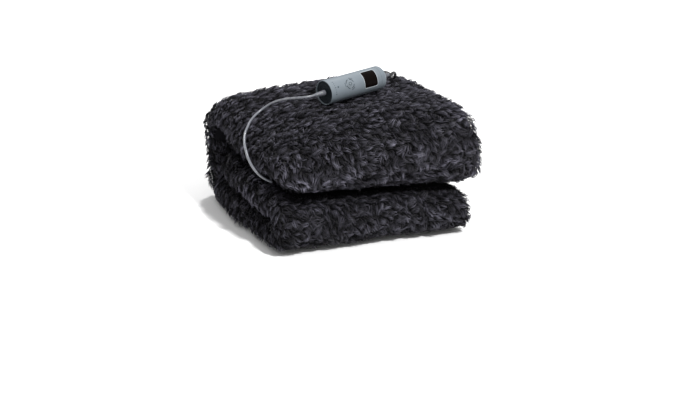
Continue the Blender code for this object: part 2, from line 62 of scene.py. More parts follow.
# Controller, as in the CAD model.
SHELL_RADIUS = 0.0200
SHELL_LENGTH = 0.121
RIM_WALL = 0.0012
RECESS_DEPTH = 0.0045
CAP_THICKNESS = 0.0025
END_ROUNDING = 0.0060
FACING = math.radians(62.0)  # round the shell, from straight up towards the front
WINDOW = dict(middle=0.0245, length=0.0272, span=math.radians(84.0), corner=0.0030)
WINDOW_DEPTH = 0.0014
KEY_MIDDLE = -0.0195
KEY_RADIUS = 0.0048
KEY_DEPTH = 0.0010
LAMP_MIDDLE = -0.0450
LAMP_RADIUS = 0.0012
FIT_GAP = 0.0003
SEAM_FROM_END = 0.0125  # the line round the shell near its right end
SEAM_DEPTH = 0.00035
MARK_HEIGHT = 0.00012
ICON_HEIGHT = 0.00055
HIGHLIGHT_RIM_LINE = (0.0008, 0.00025)  # width and height of the window's rim, a light line that is a painted highlight
TICKS = 7
TICK_PITCH = 0.0036
TICK_LONG, TICK_SHORT = 0.0024, 0.0014
CONTROL_RELIEF = (0.0210, 0.0046, 0.0029)  # length, radius at the housing and at the tip
MAINS_RELIEF = (0.0200, 0.0048, 0.0034)
PLUG_RELIEF = (0.0260, 0.0050, 0.0034)

# Leads, as in the CAD model.
CONTROL_LEAD = 0.0040
MAINS_LEAD = 0.0050
LEAD_OUT = (0.008, 0.006)  # straight out of the control relief and of the mains relief
COIL_RING = 0.0560
COIL_PITCH = 0.0054
COIL_SLOTS = ((1, 0), (0, 0), (-1, 0), (-1, 1), (-1, 2), (0, 2), (0, 1), (1, 1))

CONTROL_ROUTE = [
    (-0.0790, -0.0655, 0.2212),
    (-0.0875, -0.0570, 0.2190),
    (-0.0935, -0.0440, 0.2158),
    (-0.0990, -0.0290, 0.2115),
    (-0.1060, -0.0130, 0.2055),
    (-0.1140, -0.0015, 0.1990),
    (-0.1225, 0.0035, 0.1925),
    (-0.1310, 0.0035, 0.1872),
    (-0.1420, -0.0015, 0.1812),
    (-0.1515, -0.0080, 0.1752),
    (-0.1590, -0.0170, 0.1692),
    (-0.1660, -0.0255, 0.1628),
    (-0.1720, -0.0380, 0.1568),
    (-0.1770, -0.0535, 0.1505),
    (-0.1805, -0.0715, 0.1445),
    (-0.1822, -0.0850, 0.1380),
    (-0.1812, -0.0965, 0.1300),
    (-0.1768, -0.1055, 0.1210),
    (-0.1690, -0.1100, 0.1125),
    (-0.1590, -0.1110, 0.1055),
    (-0.1520, -0.1100, 0.1020),
]

MAINS_ROUTE = [
    (0.1015, -0.0035, 0.2322),
    (0.1070, 0.0025, 0.2298),
    (0.1112, 0.0095, 0.2258),
    (0.1140, 0.0170, 0.2210),
    (0.1165, 0.0250, 0.2168),
    (0.1190, 0.0350, 0.2135),
    (0.1225, 0.0480, 0.2120),
    (0.1280, 0.0680, 0.2110),
    (0.1325, 0.0900, 0.2092),
    (0.1335, 0.1150, 0.2055),
    (0.1315, 0.1400, 0.1990),
    (0.1300, 0.1605, 0.1880),
    (0.1290, 0.1785, 0.1720),
    (0.1285, 0.1905, 0.1535),
    (0.1285, 0.1972, 0.1300),
    (0.1285, 0.1990, 0.1050),
    (0.1285, 0.1985, 0.0750),
    (0.1285, 0.1965, 0.0480),
    (0.1285, 0.1990, 0.0260),
    (0.1283, 0.2075, 0.0105),
    (0.1275, 0.2190, 0.0046),
    (0.1262, 0.2290, 0.0032),
    (0.1258, 0.2368, 0.0031),
]

TAIL_ROUTE = [
    (0.0582, 0.2370, 0.0080),
    (0.0567, 0.2295, 0.0060),
    (0.0523, 0.2231, 0.0050),
    (0.0459, 0.2187, 0.0052),
    (0.0382, 0.2172, 0.0064),
]

# Plush. Lengths in metres.
SEED = 11
BACKING_INSET = (0.0032, 0.0062)  # from the solid's face, in the lower and the upper half
LOWER_HALF = 0.080  # height that the lower half reaches
LUMP_HEIGHT = 0.0044  # how far the pile's lumps stand up from its hollows
LUMP_SIZE = 0.036
TUFT_CELL = 0.00232  # spacing of the long tufts
UNDER_CELL = 0.00290
CLUMP_CELL = 0.0078
NAP = (0.66, -0.50, -0.56)  # which way the pile lies
LONG_TUFT = (0.0105, 0.0155)
UNDER_TUFT = (0.0055, 0.0085)
LONG_WIDTH = (0.0011, 0.0021)
UNDER_WIDTH = (0.0022, 0.0034)
CLUMP_REACH = 0.0150  # from a clump's root to its tip
CLUMP_LENGTH = (0.80, 1.20)  # shares of a tuft's usual length
CLUMP_LIFT = (0.12, 0.55)  # how far clumps stand up, from lying flat to upright
CLUMP_TURN = 0.55  # spread of the ways that clumps lie, in radians
CLUMP_PALE = 0.12  # spread of clumps in paleness
CLUMP_CURL = 0.0026  # spread of clumps in their sideways curl
COVERED_POINTS = 12  # of the control lead's line, at its far end, that the pile may cover
MOST_TRIANGLES = 195000  # in one piece


# ---------------------------------------------------------------- materials


def add_node(tree, kind, inputs=None, **settings):
    item = tree.nodes.new(kind)
    for key, value in settings.items():
        setattr(item, key, value)
    for key, value in (inputs or {}).items():
        if isinstance(value, bpy.types.NodeSocket):
            tree.links.new(value, item.inputs[key])
        else:
            item.inputs[key].default_value = value
    return item


def new_material(name, **values):
    """A material and its node tree and shader. The values go on the shader's own sockets."""
    material = bpy.data.materials.new(name)
    material.use_nodes = True
    shader = material.node_tree.nodes["Principled BSDF"]
    for key, value in values.items():
        shader.inputs[key.replace("_", " ")].default_value = value
    return material, material.node_tree, shader


def mixed(tree, share, low, high):
    """A colour between low and high, by share."""
    mix = add_node(tree, "ShaderNodeMix", data_type="RGBA")
    tree.links.new(share, mix.inputs["Factor"])
    for key, value in (("A", low), ("B", high)):
        socket = [s for s in mix.inputs if s.name == key and s.type == "RGBA"][0]
        if isinstance(value, bpy.types.NodeSocket):
            tree.links.new(value, socket)
        else:
            socket.default_value = (*value, 1.0)
    return [s for s in mix.outputs if s.type == "RGBA"][0]


def ranged(tree, value, low, high, to_low=0.0, to_high=1.0):
    item = add_node(tree, "ShaderNodeMapRange", {"Value": value})
    for key, number in (("From Min", low), ("From Max", high), ("To Min", to_low), ("To Max", to_high)):
        item.inputs[key].default_value = number
    return item.outputs["Result"]


def object_noise(tree, scale, detail=3.0, roughness=0.55, stretch=None):
    place = add_node(tree, "ShaderNodeTexCoord").outputs["Object"]
    if stretch:
        place = add_node(tree, "ShaderNodeMapping", {"Vector": place, "Scale": stretch}).outputs["Vector"]
    values = {"Vector": place, "Scale": scale, "Detail": detail, "Roughness": roughness}
    return add_node(tree, "ShaderNodeTexNoise", values).outputs["Fac"]


def bumped(tree, shader, height, strength, distance):
    values = {"Height": height, "Strength": strength, "Distance": distance}
    bump = add_node(tree, "ShaderNodeBump", values)
    tree.links.new(bump.outputs["Normal"], shader.inputs["Normal"])


def plastic(name, colour, roughness, grain=0.15, scale=900.0, variation=0.10, **values):
    """Moulded plastic: a fine grain, faint cloudiness in its colour and rubbed patches in its gloss."""
    material, tree, shader = new_material(name, **values)
    cloud = object_noise(tree, 60.0)
    low = tuple(c * (1.0 - variation) for c in colour)
    high = tuple(min(1.0, c * (1.0 + variation)) for c in colour)
    tree.links.new(mixed(tree, cloud, low, high), shader.inputs["Base Color"])
    rubbed = ranged(tree, object_noise(tree, 110.0, 5.0), 0.3, 0.7, roughness * 0.85, roughness * 1.15)
    tree.links.new(rubbed, shader.inputs["Roughness"])
    bumped(tree, shader, object_noise(tree, scale, 2.0), grain, 0.0002)
    return material


def plush_material():
    """Pile: dark at its roots, painted shade deep in the pile, and lighter at its tips, a painted sheen,
    with paler and darker locks.
    """
    material, tree, shader = new_material("plush_pile")
    along = add_node(tree, "ShaderNodeAttribute", attribute_name="along").outputs["Fac"]
    shade = add_node(tree, "ShaderNodeAttribute", attribute_name="shade").outputs["Fac"]
    # Painted shade and painted sheen: the colour darkens towards the roots and lightens towards the tips.
    tip = add_node(tree, "ShaderNodeMath", {0: along, 1: 1.9}, operation="POWER").outputs["Value"]
    body = mixed(tree, shade, (0.007, 0.0066, 0.0095), (0.500, 0.484, 0.615))
    tuft = mixed(tree, tip, (0.0020, 0.0019, 0.0026), body)
    strands = object_noise(tree, 1400.0, 2.0)
    streaked = mixed(tree, ranged(tree, strands, 0.35, 0.65, 0.0, 0.30), tuft, (0.004, 0.004, 0.005))
    tree.links.new(streaked, shader.inputs["Base Color"])
    shader.inputs["Roughness"].default_value = 0.70
    shader.inputs["Specular IOR Level"].default_value = 0.10
    shader.inputs["Sheen Weight"].default_value = 0.04
    shader.inputs["Sheen Roughness"].default_value = 0.45
    bumped(tree, shader, strands, 0.35, 0.0004)
    return material


def backing_material():
    """Knitted backing with the roots of the pile on it."""
    material, tree, shader = new_material("plush_backing")
    fuzz = object_noise(tree, 700.0, 4.0)
    rows = add_node(tree, "ShaderNodeTexWave", {"Scale": 260.0, "Distortion": 3.0, "Detail": 2.0})
    tree.links.new(add_node(tree, "ShaderNodeTexCoord").outputs["Object"], rows.inputs["Vector"])
    colour = mixed(tree, fuzz, (0.002, 0.002, 0.0025), (0.012, 0.0115, 0.014))
    tree.links.new(colour, shader.inputs["Base Color"])
    shader.inputs["Roughness"].default_value = 0.95
    shader.inputs["Specular IOR Level"].default_value = 0.05
    bumped(tree, shader, mixed(tree, fuzz, (0.0, 0.0, 0.0), rows.outputs["Color"]), 0.8, 0.0010)
    return material


def floor_material():
    material, tree, shader = new_material("pale_floor")
    cloud = object_noise(tree, 1.5)
    tree.links.new(mixed(tree, cloud, (0.90, 0.90, 0.90), (0.93, 0.93, 0.93)), shader.inputs["Base Color"])
    shader.inputs["Roughness"].default_value = 0.75
    shader.inputs["Specular IOR Level"].default_value = 0.2
    return material


def make_materials():
    return {
        "plush": plush_material(),
        "backing": backing_material(),
        "shell": plastic("shell_plastic", (0.135, 0.159, 0.180), 0.50, Specular_IOR_Level=0.30),
        "cap": plastic("cap_plastic", (0.007, 0.010, 0.013), 0.55, Specular_IOR_Level=0.06),
        # The window's light rim is a painted highlight.
        "rim": plastic("rim_painted_highlight", (0.420, 0.450, 0.470), 0.28, grain=0.05),
        "print": plastic(
            "printed_mark", (0.014, 0.018, 0.022), 0.55, grain=0.05, Specular_IOR_Level=0.12,
        ),
        "window": plastic(
            "window_lens", (0.003, 0.0018, 0.0016), 0.35, grain=0.02, Specular_IOR_Level=0.03,
        ),
        "key": plastic("key_membrane", (0.142, 0.167, 0.187), 0.52, grain=0.25, Specular_IOR_Level=0.30),
        "lamp": plastic("lamp_lens", (0.012, 0.030, 0.036), 0.15, grain=0.02),
        "grey": plastic("grey_jacket", (0.125, 0.130, 0.148), 0.28, grain=0.06, Coat_Weight=0.2),
        "black": plastic("black_jacket", (0.013, 0.013, 0.014), 0.42, grain=0.20),
        "metal": plastic("plated_blade", (0.62, 0.60, 0.56), 0.25, grain=0.05, scale=500.0, Metallic=1.0),
    }


# ---------------------------------------------------------------- shared mesh code


def smooth_step(value, low, high):
    share = np.clip((value - low) / (high - low), 0.0, 1.0)
    return share * share * (3 - 2 * share)


def new_piece(name, points, faces, material, slot, sharp=35.0):
    mesh = bpy.data.meshes.new(name)
    mesh.from_pydata([tuple(p) for p in points], [], faces)
    shape = bmesh.new()
    shape.from_mesh(mesh)
    bmesh.ops.recalc_face_normals(shape, faces=shape.faces)
    shape.to_mesh(mesh)
    shape.free()
    mesh.shade_smooth()
    mesh.set_sharp_from_angle(angle=math.radians(sharp))
    mesh.materials.append(material)
    item = bpy.data.objects.new(name, mesh)
    bpy.context.collection.objects.link(item)
    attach(item, "root")
    return item


def apply_modifiers(item):
    graph = bpy.context.evaluated_depsgraph_get()
    mesh = bpy.data.meshes.new_from_object(item.evaluated_get(graph))
    item.modifiers.clear()
    item.data = mesh


def turned_mesh(profile, steps):
    """Points and faces of a solid turned round local X from points of x and radius, ends on the axis."""
    rims = profile[1:-1]
    points = [(profile[0][0], 0.0, 0.0), (profile[-1][0], 0.0, 0.0)]
    for x, radius in rims:
        for k in range(steps):
            angle = 2 * math.pi * k / steps
            points.append((x, radius * math.cos(angle), radius * math.sin(angle)))
    faces = []
    last = 2 + (len(rims) - 1) * steps
    for k in range(steps):
        after = (k + 1) % steps
        faces.append((0, 2 + after, 2 + k))
        faces.append((1, last + k, last + after))
        for rim in range(len(rims) - 1):
            base = 2 + rim * steps
            faces.append((base + k, base + after, base + steps + after, base + steps + k))
    return points, faces


def arc(x, radius, size, angle_from, angle_to, steps):
    angles = [math.radians(angle_from + (angle_to - angle_from) * k / steps) for k in range(steps + 1)]
    return [(x + size * math.cos(a), radius + size * math.sin(a)) for a in angles]


def placed(points, matrix):
    return [matrix @ Vector(p) for p in points]


# ---------------------------------------------------------------- camera, floor and light


def middle_of(node):
    low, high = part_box(node)
    return (Vector(low) + Vector(high)) / 2


def make_camera():
    azimuth, elevation = math.radians(VIEW_AZIMUTH), math.radians(VIEW_ELEVATION)
    level = math.cos(elevation)
    back = Vector((math.sin(azimuth) * level, -math.cos(azimuth) * level, math.sin(elevation)))
    camera = bpy.data.objects.new("camera", bpy.data.cameras.new("camera"))
    camera.data.lens = VIEW_LENS
    camera.data.clip_end = 50.0
    camera.location = Vector(VIEW_TARGET) + back * VIEW_DISTANCE
    camera.rotation_euler = back.to_track_quat("Z", "Y").to_euler()
    bpy.context.collection.objects.link(camera)
    bpy.context.scene.camera = camera


def make_stage():
    bpy.ops.mesh.primitive_plane_add(size=24.0, location=(0.0, 0.0, 0.0))
    floor = bpy.context.object
    floor.name = "floor"
    floor.data.materials.append(floor_material())
    world = bpy.data.worlds.new("studio")
    world.use_nodes = True
    world.node_tree.nodes["Background"].inputs["Color"].default_value = (1.0, 1.0, 1.0, 1.0)
    world.node_tree.nodes["Background"].inputs["Strength"].default_value = WORLD_STRENGTH
    bpy.context.scene.world = world
    bpy.context.scene.view_settings.view_transform = "Standard"
    for name, towards, strength in LIGHTS:
        light = bpy.data.lights.new(name, "SUN")
        light.energy = strength
        light.angle = LIGHT_SPREAD
        item = bpy.data.objects.new(name, light)
        item.rotation_euler = Vector(towards).to_track_quat("Z", "Y").to_euler()
        bpy.context.collection.objects.link(item)


# ---------------------------------------------------------------- leads


def smooth_line(route, spacing):
    """Points about spacing apart on a smooth curve through the route's points."""
    route = [Vector(p) for p in route]
    ends = [2 * route[0] - route[1], *route, 2 * route[-1] - route[-2]]
    fine = []
    for before, start, end, after in zip(ends, ends[1:], ends[2:], ends[3:]):
        for k in range(24):
            t = k / 24
            fine.append(
                0.5 * (
                    2 * start + (end - before) * t
                    + (2 * before - 5 * start + 4 * end - after) * t ** 2
                    + (3 * start - before - 3 * end + after) * t ** 3
                )
            )
    fine = np.array([*fine, route[-1]])
    steps = np.linalg.norm(np.diff(fine, axis=0), axis=1)
    along = np.concatenate([[0.0], np.cumsum(steps)])
    at = np.linspace(0.0, along[-1], round(along[-1] / spacing) + 1)
    return np.stack([np.interp(at, along, fine[:, k]) for k in range(3)], axis=1)


def coil_turns(centre):
    """Seven and a half turns, side by side and on each other, anticlockwise from the coil's +X side."""
    points = []
    per_turn = 30
    cross_from, cross_to = math.radians(195.0), math.radians(260.0)
    for turn, (column, row) in enumerate(COIL_SLOTS):
        last = turn == len(COIL_SLOTS) - 1
        next_column, next_row = (column, row) if last else COIL_SLOTS[turn + 1]
        for k in range(per_turn // 2 if last else per_turn):
            angle = 2 * math.pi * k / per_turn
            share = float(smooth_step(angle, cross_from, cross_to))
            radius = COIL_RING / 2 + COIL_PITCH * (column + (next_column - column) * share)
            height = MAINS_LEAD * 0.62 + COIL_PITCH * (row + (next_row - row) * share)
            x, y = centre[0] + radius * math.cos(angle), centre[1] + radius * math.sin(angle)
            points.append((x, y, height))
    return points


def make_lead(name, line, diameter, material):
    curve = bpy.data.curves.new(name, "CURVE")
    curve.dimensions = "3D"
    curve.bevel_depth = diameter / 2
    curve.bevel_resolution = 5
    curve.use_fill_caps = True
    spline = curve.splines.new("POLY")
    spline.points.add(len(line) - 1)
    for point, place in zip(spline.points, line):
        point.co = (*place, 1.0)
    spline.use_smooth = True
    curve.materials.append(material)
    item = bpy.data.objects.new(name, curve)
    bpy.context.collection.objects.link(item)
    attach(item, "root")
    return item


def relief_profile(size):
    """A tapered boot with a plain collar and rounded rings that shrink towards its tip."""
    length, wide, narrow = size
    rings = 5
    profile = [(0.0, 0.0), (0.0, wide - 0.0003), (0.0003, wide)]
    profile += [(length * 0.15, wide), (length * 0.16, wide - 0.0003)]
    for k in range(rings):
        start = length * (0.19 + 0.155 * k)
        radius = wide + (narrow - wide) * (0.15 + 0.17 * k)
        width = length * 0.115
        profile += [(start, radius - 0.0008), (start + width * 0.12, radius - 0.0001)]
        profile += [(start + width * 0.5, radius), (start + width * 0.88, radius - 0.0001)]
        profile += [(start + width, radius - 0.0008)]
    profile += [(length * 0.985, narrow - 0.0005), (length, narrow - 0.0008), (length, 0.0)]
    return profile


def controller_matrix():
    """From the controller's own axes, X along it and Z up, to the frame."""
    along = (middle_of("mains_relief") - middle_of("control_relief")).normalized()
    across = Vector((-along.y, along.x, 0.0)).normalized()
    up = along.cross(across)
    cap_middle = -SHELL_LENGTH / 2 + RECESS_DEPTH - FIT_GAP - CAP_THICKNESS / 2
    middle = middle_of("end_cap") - along * cap_middle
    turn = Matrix((along, across, up)).transposed().to_4x4()
    return Matrix.Translation(middle) @ turn


def make_leads(materials, place):
    along = (place.to_3x3() @ Vector((1.0, 0.0, 0.0))).normalized()
    cap_face = -SHELL_LENGTH / 2 + RECESS_DEPTH - FIT_GAP - CAP_THICKNESS
    control_from = cap_face - FIT_GAP
    mains_from = SHELL_LENGTH / 2 + FIT_GAP
    control_tip = place @ Vector((control_from - CONTROL_RELIEF[0] - FIT_GAP, 0.0, 0.0))
    mains_tip = place @ Vector((mains_from + MAINS_RELIEF[0] + FIT_GAP, 0.0, 0.0))

    route = [control_tip, control_tip - LEAD_OUT[0] * along, *CONTROL_ROUTE]
    control_line = smooth_line(route, 0.004)
    control = make_lead("control_cord", control_line, CONTROL_LEAD, materials["grey"])
    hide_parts("control_lead")
    points, faces = turned_mesh(relief_profile(CONTROL_RELIEF), 40)
    flip = place @ Matrix.Translation((control_from, 0.0, 0.0)) @ Matrix.Rotation(math.pi, 4, "Z")
    boot = new_piece("control_boot", placed(points, flip), faces, materials["grey"], "lead_grey")
    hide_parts("control_relief")

    coil_middle = middle_of("mains_coil")
    route = [mains_tip, mains_tip + LEAD_OUT[1] * along, *MAINS_ROUTE]
    down = smooth_line(route, 0.005)
    plug_low, plug_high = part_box("plug_relief")
    plug_tip = (plug_high[0] + FIT_GAP, (plug_low[1] + plug_high[1]) / 2, (plug_low[2] + plug_high[2]) / 2)
    rest = smooth_line([*down[-3:-1], *coil_turns(coil_middle), *TAIL_ROUTE, plug_tip], 0.005)
    mains_line = np.vstack([down[:-3], rest])
    mains = make_lead("mains_cord", mains_line, MAINS_LEAD, materials["black"])
    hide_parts("mains_lead", "mains_coil", "plug_tail")
    points, faces = turned_mesh(relief_profile(MAINS_RELIEF), 40)
    out = place @ Matrix.Translation((mains_from, 0.0, 0.0))
    mains_boot = new_piece("mains_boot", placed(points, out), faces, materials["grey"], "lead_grey")
    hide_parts("mains_relief")
    plug_pieces = make_plug(materials, plug_tip)
    tie = make_tie(materials, coil_middle)
    return control_line, mains_line


def add_box(shape, middle, size):
    place = Matrix.Translation(middle) @ Matrix.Diagonal((*size, 1.0))
    bmesh.ops.create_cube(shape, size=1.0, matrix=place)


def round_edges(shape, radius, steps):
    bmesh.ops.bevel(
        shape, geom=shape.edges[:], offset=radius, segments=steps, profile=0.5, affect="EDGES",
    )


def make_plug(materials, plug_tip):
    """A flat two-blade plug: a moulded body with grip ribs, its boot and two plated blades."""
    low, high = (Vector(corner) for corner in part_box("plug_body"))
    middle, size = (low + high) / 2, high - low
    shape = bmesh.new()
    add_box(shape, middle, size)
    for corner in shape.verts:
        if corner.co.x > middle.x:
            corner.co.y = middle.y + (corner.co.y - middle.y) * 0.78
            corner.co.z = low.z + (corner.co.z - low.z) * 0.94
    round_edges(shape, 0.0036, 5)
    body = [tuple(v.co) for v in shape.verts], [tuple(v.index for v in f.verts) for f in shape.faces]
    shape.free()
    piece = new_piece("plug_moulding", *body, materials["black"], "lead_black")
    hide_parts("plug_body")
    ribs = []
    for side in (-1, 1):
        for k in range(5):
            x = middle.x - 0.005 + 0.0030 * k
            y = middle.y + side * (size.y / 2 * (1.0 - 0.012 * k) - 0.0009)
            ribs.append((Vector((x, y, middle.z - 0.0003)), (0.0012, 0.0016, size.z * 0.50)))
    grips = new_piece("plug_grips", *joined_boxes(ribs), materials["black"], "lead_black")
    points, faces = turned_mesh(relief_profile(PLUG_RELIEF), 40)
    start = Matrix.Translation((plug_tip[0] - FIT_GAP - PLUG_RELIEF[0], plug_tip[1], plug_tip[2]))
    boot = new_piece("plug_boot", placed(points, start), faces, materials["black"], "lead_black")
    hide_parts("plug_relief")
    blades = []
    for node in ("blade_a", "blade_b"):
        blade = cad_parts[node]
        blade.data.materials.clear()
        blade.data.materials.append(materials["metal"])
        blades.append(blade)
    return [piece, grips, boot, *blades]


def joined_boxes(boxes, rounding=0.0004):
    """Points and faces of rounded boxes, each given by its middle and its size."""
    points, faces = [], []
    for middle, size in boxes:
        shape = bmesh.new()
        add_box(shape, middle, size)
        round_edges(shape, rounding, 2)
        base = len(points)
        points += [tuple(v.co) for v in shape.verts]
        faces += [tuple(base + v.index for v in f.verts) for f in shape.faces]
        shape.free()
    return points, faces


def make_tie(materials, centre):
    """A strap round the coil's bundle, at its -X side."""
    half = COIL_PITCH * 1.5 + 0.0007
    middle_height = MAINS_LEAD * 0.62 + COIL_PITCH
    ring = Vector((centre[0] - COIL_RING / 2, centre[1], middle_height))
    steps, strap, width = 48, 0.0006, 0.0060
    rim = []
    for k in range(steps):
        angle = 2 * math.pi * k / steps
        squared = (abs(math.cos(angle)) ** 4 + abs(math.sin(angle)) ** 4) ** -0.25
        rim.append((math.cos(angle) * squared, math.sin(angle) * squared))
    points, faces = [], []
    outer = half + strap
    for across, reach in ((-width / 2, half), (width / 2, half), (width / 2, outer), (-width / 2, outer)):
        points += [(ring.x + x * reach, ring.y + across, max(0.0002, ring.z + z * reach)) for x, z in rim]
    for part in range(4):
        for k in range(steps):
            after = (k + 1) % steps
            beyond = (part + 1) % 4 * steps
            faces.append((part * steps + k, part * steps + after, beyond + after, beyond + k))
    return new_piece("coil_tie", points, faces, materials["black"], "lead_black")


# ---------------------------------------------------------------- controller


def wrapped_outline(length, span, corner, rows):
    """Rows of half length and angle of a rounded rectangle, wrapped on the shell."""
    half_arc = span / 2
    flat_half = half_arc * SHELL_RADIUS
    outline = []
    for k in range(rows + 1):
        along = -math.cos(math.pi * (k + 0.35) / (rows + 0.7))
        into = max(0.0, abs(along) * flat_half - (flat_half - corner))
        cut = corner - math.sqrt(max(0.0, corner * corner - into * into))
        outline.append((length / 2 - cut, FACING - along * half_arc))
    return outline


def wrapped_plate(middle, length, span, corner, inner, outer, rows=44, soft=0.0):
    """Points and faces of a plate wrapped on the shell. soft lowers its edge to round it off."""
    points, faces = [], []
    outline = wrapped_outline(length, span, corner, rows)
    columns = 6
    for half, angle in outline:
        for k in range(columns + 1):
            x = half * math.cos(math.pi * k / columns)
            edge = soft * (1.0 - min(1.0, 2.5 * min(k, columns - k) / columns))
            radius = outer - edge
            points.append((middle + x, -radius * math.sin(angle), radius * math.cos(angle)))
        for x in (-half, half):
            points.append((middle + x, -inner * math.sin(angle), inner * math.cos(angle)))
    ring = columns + 3
    faces.append(tuple(range(ring)))
    faces.append(tuple(rows * ring + k for k in range(ring)))
    for row in range(rows):
        base = row * ring
        for k in range(ring):
            after = (k + 1) % ring
            faces.append((base + k, base + after, base + ring + after, base + ring + k))
    return points, faces


def wrapped_stroke(path, width, height, closed=False):
    """A raised line on the shell. Its path is x along the shell and arc from where the shell faces out."""
    path = np.array(path)
    count = len(path)
    ahead = np.roll(path, -1, axis=0) - np.roll(path, 1, axis=0)
    if not closed:
        ahead[0], ahead[-1] = path[1] - path[0], path[-1] - path[-2]
    ahead /= np.linalg.norm(ahead, axis=1)[:, None]
    side = np.stack([-ahead[:, 1], ahead[:, 0]], axis=1) * width / 2
    points, faces = [], []
    for k in range(count):
        section = (
            (path[k] - side[k], -height * 0.6), (path[k] - side[k] * 0.7, height),
            (path[k] + side[k] * 0.7, height), (path[k] + side[k], -height * 0.6),
        )
        for (x, reach), lift in section:
            angle = FACING + reach / SHELL_RADIUS
            radius = SHELL_RADIUS + lift
            points.append((x, -radius * math.sin(angle), radius * math.cos(angle)))
    for k in range(count if closed else count - 1):
        base, after = 4 * k, 4 * ((k + 1) % count)
        for j in range(4):
            faces.append((base + j, base + (j + 1) % 4, after + (j + 1) % 4, after + j))
    if not closed:
        faces += [(0, 1, 2, 3), tuple(4 * (count - 1) + j for j in range(4))]
    return points, faces


def circle_path(middle, radius, angle_from=0.0, angle_to=360.0, steps=64):
    full = abs(angle_to - angle_from) >= 360.0
    count = steps if full else steps + 1
    angles = [math.radians(angle_from + (angle_to - angle_from) * k / steps) for k in range(count)]
    return [(middle + radius * math.cos(a), radius * math.sin(a)) for a in angles]


def join_shapes(shapes):
    points, faces = [], []
    for some_points, some_faces in shapes:
        base = len(points)
        points += some_points
        faces += [tuple(base + k for k in face) for face in some_faces]
    return points, faces


